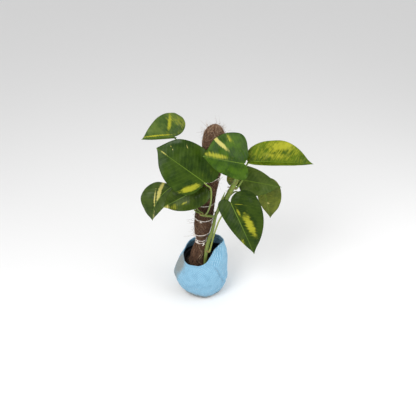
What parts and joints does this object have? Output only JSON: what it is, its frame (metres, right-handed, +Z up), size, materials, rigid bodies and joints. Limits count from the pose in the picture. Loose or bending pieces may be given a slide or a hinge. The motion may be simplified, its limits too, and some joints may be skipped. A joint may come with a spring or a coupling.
{
  "type": "potted pothos plant on a coir pole in a fabric wrapper",
  "caption": "Variegated climbing pothos tied to a leaning coir pole, in a nursery pot inside a lined woven fabric wrapper bag; stands free on its flat base.",
  "frame": {"origin": "middle of the flat base of the wrapper bag", "axes": "+Z up; the plant faces -Y, with +X to the viewer's right"},
  "size_m": [0.392, 0.1717, 0.4737],
  "materials": {
    "wrapper": "matte",
    "liner": "satin",
    "pot": "satin",
    "soil": "matte",
    "stake": "matte",
    "coir": "matte",
    "string": "matte",
    "stem": "satin",
    "leaf": "satin"
  },
  "bodies": {
    "root": {"coir_sleeve": "coir", "leaf_back": "leaf", "leaf_centre": "leaf", "leaf_far_left": "leaf", "leaf_large_left": "leaf", "leaf_lower_left": "leaf", "leaf_lower_right": "leaf", "leaf_olive": "leaf", "leaf_right": "leaf", "leaf_right_dark": "leaf", "leaf_spear": "leaf", "leaf_top_left": "leaf", "nursery_pot": "pot", "petiole_back": "stem", "petiole_centre": "stem", "petiole_far_left": "stem", "petiole_large_left": "stem", "petiole_lower_left": "stem", "petiole_lower_right": "stem", "petiole_olive": "stem", "petiole_right": "stem", "petiole_right_dark": "stem", "petiole_top_left": "stem", "pole_stake": "stake", "side_shoot": "stem", "soil": "soil", "tie_lower": "string", "tie_middle": "string", "tie_shoot": "string", "tie_upper": "string", "tie_waist_lower": "string", "tie_waist_upper": "string", "vine_stem": "stem", "wrapper": "wrapper", "wrapper_liner": "liner"}
  },
  "joints": []
}
